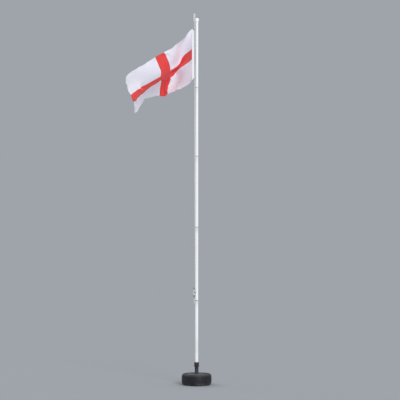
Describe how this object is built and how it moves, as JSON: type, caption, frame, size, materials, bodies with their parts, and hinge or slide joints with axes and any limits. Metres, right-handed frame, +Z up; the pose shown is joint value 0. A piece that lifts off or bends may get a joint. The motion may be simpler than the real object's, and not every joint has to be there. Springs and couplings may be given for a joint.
{
  "type": "flagpole",
  "caption": "Sectional white flagpole in a concrete-filled tyre, with a cleated halyard, a head pulley and a white flag with a red cross flying from it.",
  "frame": {"origin": "on the ground under the pole's axis, on the concrete's flat underside", "axes": "+Z up the pole; the flag flies towards -X; -Y is the side with the cleat and the flag's rope"},
  "size_m": [1.6545, 1.0621, 7.2399],
  "materials": {
    "tyre": "dusty black rubber",
    "concrete": "rough grey concrete",
    "socket_steel": "worn black paint",
    "pole_white": "white powder coat",
    "joint_ring": "black",
    "truck_white": "white moulding",
    "fork_metal": "white coat",
    "sheave_plastic": "pale nylon",
    "bright_steel": "bright steel",
    "cleat_plastic": "black nylon",
    "rope": "white braided rope",
    "cloth": "white cloth with a red cross",
    "header_tape": "white canvas tape",
    "eye_brass": "brass"
  },
  "bodies": {
    "pole": {"tyre": "tyre", "concrete_fill": "concrete", "socket_tube": "socket_steel", "socket_collar": "socket_steel", "truck_cap": "truck_white", "truck_fork": "fork_metal", "sheave_pin": "bright_steel", "cleat": "cleat_plastic", "halyard": "rope", "halyard_turns": "rope", "halyard_tail": "rope", "pole_section_1": "pole_white", "pole_section_2": "pole_white", "pole_section_3": "pole_white", "pole_section_4": "pole_white", "pole_section_5": "pole_white", "joint_sleeve_1": "joint_ring", "joint_sleeve_2": "joint_ring", "joint_sleeve_3": "joint_ring", "joint_sleeve_4": "joint_ring"},
    "sheave": {"sheave": "sheave_plastic"},
    "flag": {"flag_header": "header_tape", "flag_cloth": "cloth", "grommet_top": "eye_brass", "grommet_bottom": "eye_brass", "flag_clip_top": "bright_steel", "flag_clip_bottom": "bright_steel"}
  },
  "joints": [
    {"name": "sheave_spin", "type": "hinge", "parent": "pole", "child": "sheave", "pos_m": [-0.0485, 0, 7.206], "axis": [1, 0, 0], "continuous": true},
    {"name": "flag_hoist", "type": "slide", "parent": "pole", "child": "flag", "axis": [0.0054, -0.003, -1], "range_m": [0, 3.95]}
  ]
}
